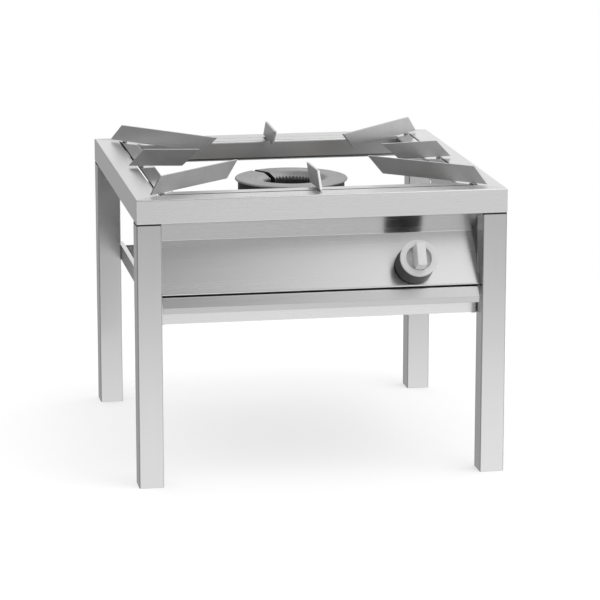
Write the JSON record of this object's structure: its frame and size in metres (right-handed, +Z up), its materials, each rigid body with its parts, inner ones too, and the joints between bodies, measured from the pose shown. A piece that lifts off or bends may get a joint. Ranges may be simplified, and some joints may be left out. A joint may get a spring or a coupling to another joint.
{
  "type": "gas wok burner",
  "caption": "Free-standing stainless gas wok burner: square-tube stand, lift-out ring with upright fins, cast ring burner, one push-turn gas knob and a sliding drip tray.",
  "frame": {"origin": "on the floor, under the middle of the square frame", "axes": "+X to the right seen from the front, +Y to the back, +Z up; the front with the knob faces -Y"},
  "size_m": [0.6, 0.6747, 0.5],
  "materials": {
    "brushed_sheet": "brushed satin stainless",
    "blasted_steel": "bead-blasted, a little darker",
    "foot_plastic": "matt black",
    "fastener_steel": "plain zinc grey",
    "burner_iron": "bare casting, fine grain",
    "tube_iron": "bare casting",
    "shutter_steel": "plain sheet",
    "tap_brass": "machined",
    "tube_metal": "drawn tube",
    "copper_tube": "drawn copper",
    "knob_black": "black, half gloss",
    "knob_satin": "satin"
  },
  "bodies": {
    "frame": {"rail_front": "brushed_sheet", "rail_back": "brushed_sheet", "rail_left": "brushed_sheet", "rail_right": "brushed_sheet", "leg_front_left": "brushed_sheet", "leg_front_right": "brushed_sheet", "leg_back_left": "brushed_sheet", "leg_back_right": "brushed_sheet", "grate_ledges": "brushed_sheet", "panel_tabs": "brushed_sheet", "control_panel": "brushed_sheet", "runner_left": "brushed_sheet", "runner_right": "brushed_sheet", "rear_crossbar": "brushed_sheet", "runner_brackets": "brushed_sheet", "bearer_front": "brushed_sheet", "bearer_back": "brushed_sheet", "inlet_plate": "brushed_sheet", "leg_plugs": "foot_plastic", "panel_screws": "fastener_steel", "bearer_screws": "fastener_steel", "burner_bolts": "fastener_steel", "inlet_screws": "fastener_steel", "pilot_screw": "fastener_steel", "burner_body": "burner_iron", "mixing_tube": "tube_iron", "pilot_plate": "shutter_steel", "gas_tap": "tap_brass", "tap_nut": "tap_brass", "injector": "tap_brass", "injector_holder": "tap_brass", "union_nuts": "tap_brass", "inlet_fitting": "tap_brass", "inlet_locknut": "tap_brass", "pilot_burner": "tap_brass", "feed_tube": "tube_metal", "supply_pipe": "tube_metal", "pilot_tube": "copper_tube", "thermocouple": "copper_tube"},
    "grate": {"grate_ring": "brushed_sheet", "fin_left": "blasted_steel", "fin_right": "blasted_steel", "fin_front": "blasted_steel", "fin_back": "blasted_steel", "fin_front_left": "blasted_steel", "fin_front_right": "blasted_steel", "fin_back_left": "blasted_steel", "fin_back_right": "blasted_steel"},
    "tray": {"drip_tray": "brushed_sheet"},
    "cap": {"burner_cap": "burner_iron"},
    "shutter": {"air_shutter": "shutter_steel", "shutter_screw": "fastener_steel"},
    "plug": {"tap_plug": "tap_brass"},
    "knob": {"tap_spindle": "fastener_steel", "knob": "knob_black", "knob_cap": "knob_satin"}
  },
  "joints": [
    {"name": "grate_lift", "type": "slide", "parent": "frame", "child": "grate", "axis": [0, 0, 1], "range_m": [0, 0.2]},
    {"name": "tray_slide", "type": "slide", "parent": "frame", "child": "tray", "axis": [0, -1, 0], "range_m": [0, 0.45]},
    {"name": "cap_lift", "type": "slide", "parent": "frame", "child": "cap", "axis": [0, 0, 1], "range_m": [0, 0.08]},
    {"name": "shutter_turn", "type": "hinge", "parent": "frame", "child": "shutter", "pos_m": [0, -0.1875, 0.404], "axis": [0, -1, 0], "range_deg": [0, 45]},
    {"name": "knob_turn", "type": "hinge", "parent": "frame", "child": "plug", "pos_m": [0.1534, -0.26872, 0.34211], "axis": [0, -0.8805, 0.474], "range_deg": [0, 210]},
    {"name": "knob_push", "type": "slide", "parent": "plug", "child": "knob", "axis": [0, 0.8805, -0.474], "range_m": [0, 0.004], "stiffness_N_per_m": 2000}
  ]
}
